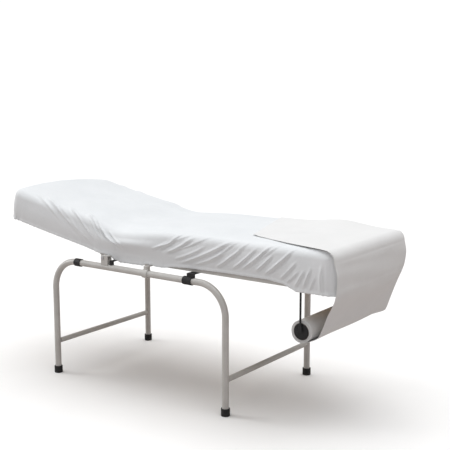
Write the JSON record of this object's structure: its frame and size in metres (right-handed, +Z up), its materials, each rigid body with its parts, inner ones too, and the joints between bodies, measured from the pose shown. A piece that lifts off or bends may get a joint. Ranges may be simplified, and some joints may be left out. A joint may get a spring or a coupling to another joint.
{
  "type": "examination couch",
  "caption": "Examination couch with a tilting backrest in a white fitted cover, on tubular side hoops, with a paper roll hung under its foot end.",
  "frame": {"origin": "on the floor, under the middle of the couch's length and width", "axes": "+Z up, +X towards the foot end, +Y towards the far side, so -Y is the side that the picture shows"},
  "size_m": [1.8606, 0.728, 0.8846],
  "materials": {
    "cover_fabric": "matte",
    "tissue_paper": "matte",
    "cardboard": "matte",
    "upholstery": "satin",
    "plywood": "satin",
    "painted_steel": "satin",
    "zinc_steel": "satin",
    "black_steel": "satin",
    "black_plastic": "satin",
    "black_rubber": "matte"
  },
  "bodies": {
    "base": {"arm_mount_far": "black_steel", "arm_mount_near": "black_steel", "arm_pin_far": "zinc_steel", "arm_pin_near": "zinc_steel", "foot_cap_foot_far": "black_rubber", "foot_cap_foot_near": "black_rubber", "foot_cap_head_far": "black_rubber", "foot_cap_head_near": "black_rubber", "foot_saddle_far": "black_plastic", "foot_saddle_near": "black_plastic", "hinge_bracket_far": "painted_steel", "hinge_bracket_near": "painted_steel", "hinge_pin_far": "zinc_steel", "hinge_pin_near": "zinc_steel", "leg_tie_foot": "painted_steel", "leg_tie_head": "painted_steel", "middle_support_far": "painted_steel", "middle_support_near": "painted_steel", "paper_sheet": "tissue_paper", "rail_buffer_far": "black_rubber", "rail_buffer_near": "black_rubber", "rail_sleeve_far": "black_plastic", "rail_sleeve_near": "black_plastic", "ratchet_hanger_hinge": "painted_steel", "ratchet_hanger_middle": "painted_steel", "ratchet_sleeve": "black_steel", "seat_board": "plywood", "seat_cover": "cover_fabric", "seat_cross_tube_foot": "painted_steel", "seat_cross_tube_hinge": "painted_steel", "seat_cross_tube_middle": "painted_steel", "seat_pad": "upholstery", "seat_side_tube_far": "painted_steel", "seat_side_tube_near": "painted_steel", "side_hoop_far": "painted_steel", "side_hoop_near": "painted_steel"},
    "backrest": {"backrest_board": "plywood", "backrest_cover": "cover_fabric", "backrest_cross_tube_head": "painted_steel", "backrest_cross_tube_hinge": "painted_steel", "backrest_pad": "upholstery", "backrest_side_tube_far": "painted_steel", "backrest_side_tube_near": "painted_steel", "hinge_lug_far": "painted_steel", "hinge_lug_near": "painted_steel", "ratchet_lever": "painted_steel"},
    "ratchet_bar": {"ratchet_bar": "zinc_steel", "ratchet_pin": "zinc_steel"},
    "paper_roll": {"paper_core": "cardboard", "paper_roll": "tissue_paper"},
    "arm_near": {"roll_arm_near": "black_steel", "roll_hub_near": "black_plastic"},
    "arm_far": {"roll_arm_far": "black_steel", "roll_hub_far": "black_plastic"}
  },
  "joints": [
    {"name": "backrest_tilt", "type": "hinge", "parent": "base", "child": "backrest", "pos_m": [-0.28629, 0, 0.6211], "axis": [0, 1, 0], "range_deg": [-10, 45]},
    {"name": "ratchet_slide", "type": "slide", "parent": "base", "child": "ratchet_bar", "axis": [-1, 0, 0], "range_m": [-0.0135, 0.0555]},
    {"name": "roll_spin", "type": "hinge", "parent": "base", "child": "paper_roll", "pos_m": [0.76571, 0, 0.4275], "axis": [0, 1, 0], "continuous": true},
    {"name": "arm_near_swing", "type": "hinge", "parent": "base", "child": "arm_near", "pos_m": [0.76571, -0.3108, 0.6011], "axis": [-1, 0, 0], "range_deg": [0, 12], "stiffness_Nm_per_rad": 4},
    {"name": "arm_far_swing", "type": "hinge", "parent": "base", "child": "arm_far", "pos_m": [0.76571, 0.3108, 0.6011], "axis": [1, 0, 0], "range_deg": [0, 12], "stiffness_Nm_per_rad": 4}
  ],
  "couplings": [
    {"joint": "ratchet_slide", "follows": "backrest_tilt", "m_per_rad": 0.07}
  ]
}
